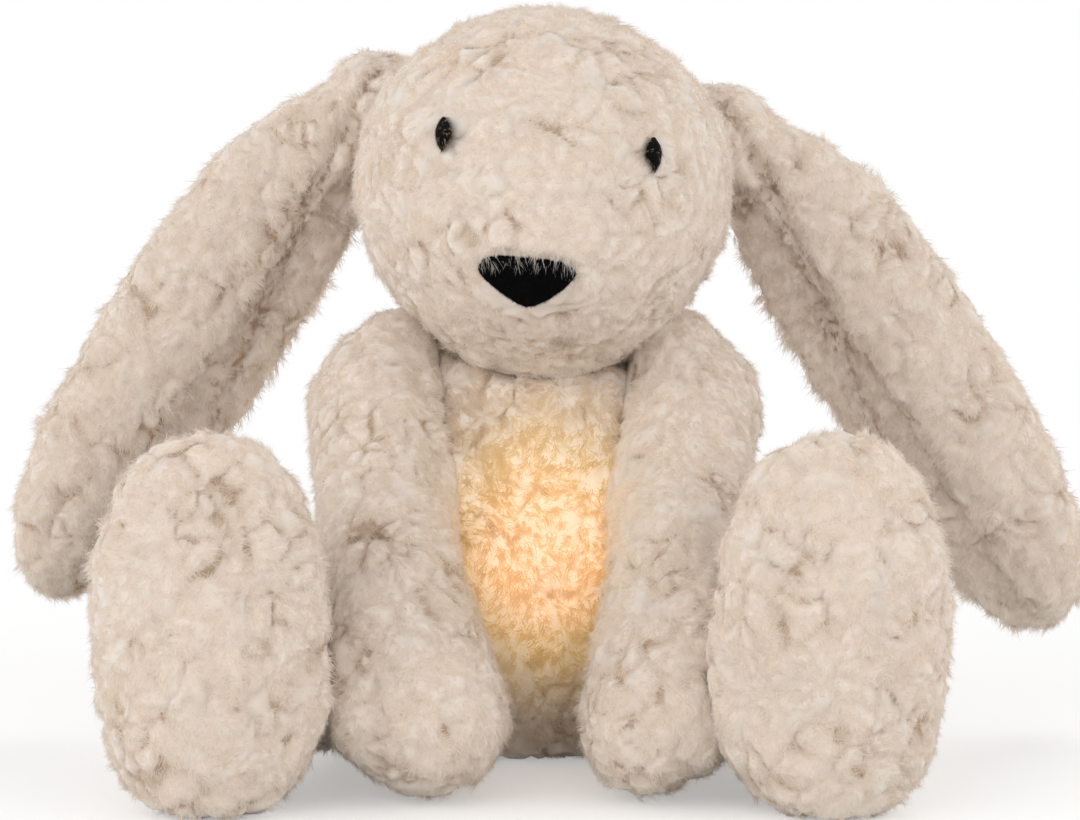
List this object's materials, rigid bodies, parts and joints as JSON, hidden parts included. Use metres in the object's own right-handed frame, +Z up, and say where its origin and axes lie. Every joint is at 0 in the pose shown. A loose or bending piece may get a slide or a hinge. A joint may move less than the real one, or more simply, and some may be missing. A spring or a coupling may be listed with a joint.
{
  "type": "plush sleep trainer",
  "caption": "Seated plush rabbit with long drooping ears, a glowing belly and a light and sound module behind a back zip; head, ears, arms and legs move.",
  "frame": {"origin": "on the surface the toy sits on, at the middle of the torso's flat seat", "axes": "+Z up; the toy faces -Y; +X to its own left side"},
  "size_m": [0.3966, 0.2244, 0.2643],
  "materials": {
    "cream_plush": "long swirled pile",
    "belly_plush": "long pile, lit from behind",
    "sole_plush": "long swirled pile",
    "stuffing": "loose fibre",
    "black_thread": "satin stitch",
    "lining": "woven",
    "zip_tape": "woven tape and coil",
    "steel": "plain",
    "frosted_plastic": "frosted",
    "white_plastic": "fine texture",
    "grey_plastic": "fine texture",
    "black_plastic": "fine texture",
    "board": "solder mask",
    "led": "clear lens",
    "cell": "foil"
  },
  "bodies": {
    "torso": {"belly_panel": "belly_plush", "back_cover_right": "cream_plush", "back_cover_left": "cream_plush", "base_panel": "cream_plush", "torso_filling": "stuffing", "tail": "cream_plush", "zip_tape_right": "zip_tape", "zip_tape_left": "zip_tape", "zip_stop": "steel", "module_pouch": "lining", "diffuser": "frosted_plastic", "module_case": "white_plastic", "led_board": "board", "led_1": "led", "led_2": "led", "led_3": "led", "led_4": "led", "battery": "cell", "control_panel": "white_plastic", "control_board": "board", "speaker": "black_plastic", "usb_socket": "steel", "case_screw_1": "steel", "case_screw_2": "steel", "case_screw_3": "steel", "case_screw_4": "steel"},
    "neck": {"neck_filling": "stuffing"},
    "head": {"head_cover_front": "cream_plush", "head_cover_back": "cream_plush", "head_filling": "stuffing", "eye_right": "black_thread", "eye_left": "black_thread", "nose": "black_thread"},
    "ear_right": {"ear_right": "cream_plush"},
    "arm_right": {"arm_cover_right": "cream_plush", "arm_filling_right": "stuffing"},
    "leg_right": {"leg_cover_right": "cream_plush", "leg_filling_right": "stuffing", "foot_cover_right": "cream_plush", "foot_sole_right": "sole_plush", "foot_filling_right": "stuffing"},
    "ear_left": {"ear_left": "cream_plush"},
    "arm_left": {"arm_cover_left": "cream_plush", "arm_filling_left": "stuffing"},
    "leg_left": {"leg_cover_left": "cream_plush", "leg_filling_left": "stuffing", "foot_cover_left": "cream_plush", "foot_sole_left": "sole_plush", "foot_filling_left": "stuffing"},
    "zip_slider": {"zip_slider": "steel"},
    "zip_pull": {"zip_pull": "steel"},
    "button_volume_up": {"button_volume_up": "grey_plastic"},
    "button_sound": {"button_sound": "grey_plastic"},
    "button_light": {"button_light": "grey_plastic"},
    "button_timer": {"button_timer": "grey_plastic"},
    "button_volume_down": {"button_volume_down": "grey_plastic"},
    "power_switch": {"power_switch": "grey_plastic"}
  },
  "joints": [
    {"name": "head_nod", "type": "hinge", "parent": "torso", "child": "neck", "pos_m": [0, 0, 0.143], "axis": [1, 0, 0], "range_deg": [-5, 8], "stiffness_Nm_per_rad": 3},
    {"name": "head_turn", "type": "hinge", "parent": "neck", "child": "head", "pos_m": [0, 0, 0.143], "axis": [0, 0, 1], "range_deg": [-10, 10], "stiffness_Nm_per_rad": 1},
    {"name": "ear_right_lift", "type": "hinge", "parent": "head", "child": "ear_right", "pos_m": [-0.05433, 0.005, 0.23124], "axis": [0, 1, 0], "range_deg": [0, 60]},
    {"name": "ear_left_lift", "type": "hinge", "parent": "head", "child": "ear_left", "pos_m": [0.06512, 0.005, 0.21973], "axis": [0, -1, 0], "range_deg": [0, 60]},
    {"name": "arm_right_raise", "type": "hinge", "parent": "torso", "child": "arm_right", "pos_m": [-0.057, -0.016, 0.123], "axis": [-0.9986, 0, 0.0523], "range_deg": [0, 25]},
    {"name": "arm_left_raise", "type": "hinge", "parent": "torso", "child": "arm_left", "pos_m": [0.057, -0.016, 0.123], "axis": [-0.9659, 0, -0.2588], "range_deg": [0, 25]},
    {"name": "leg_right_splay", "type": "hinge", "parent": "torso", "child": "leg_right", "pos_m": [-0.062, -0.022, 0.029], "axis": [0, 0, -1], "range_deg": [0, 25]},
    {"name": "leg_left_splay", "type": "hinge", "parent": "torso", "child": "leg_left", "pos_m": [0.062, -0.022, 0.029], "axis": [0, 0, 1], "range_deg": [0, 25]},
    {"name": "zip_slide", "type": "slide", "parent": "torso", "child": "zip_slider", "axis": [0, 0.1189, -0.9929], "range_m": [0, 0.0565]},
    {"name": "zip_pull_swing", "type": "hinge", "parent": "zip_slider", "child": "zip_pull", "pos_m": [0, 0.04295, 0.10834], "axis": [1, 0, 0], "range_deg": [0, 150]},
    {"name": "button_volume_up_press", "type": "slide", "parent": "torso", "child": "button_volume_up", "axis": [0, -1, 0], "range_m": [0, 0.001], "stiffness_N_per_m": 800},
    {"name": "button_sound_press", "type": "slide", "parent": "torso", "child": "button_sound", "axis": [0, -1, 0], "range_m": [0, 0.001], "stiffness_N_per_m": 800},
    {"name": "button_light_press", "type": "slide", "parent": "torso", "child": "button_light", "axis": [0, -1, 0], "range_m": [0, 0.001], "stiffness_N_per_m": 800},
    {"name": "button_timer_press", "type": "slide", "parent": "torso", "child": "button_timer", "axis": [0, -1, 0], "range_m": [0, 0.001], "stiffness_N_per_m": 800},
    {"name": "button_volume_down_press", "type": "slide", "parent": "torso", "child": "button_volume_down", "axis": [0, -1, 0], "range_m": [0, 0.001], "stiffness_N_per_m": 800},
    {"name": "power_switch_slide", "type": "slide", "parent": "torso", "child": "power_switch", "axis": [1, 0, 0], "range_m": [0, 0.003]}
  ]
}
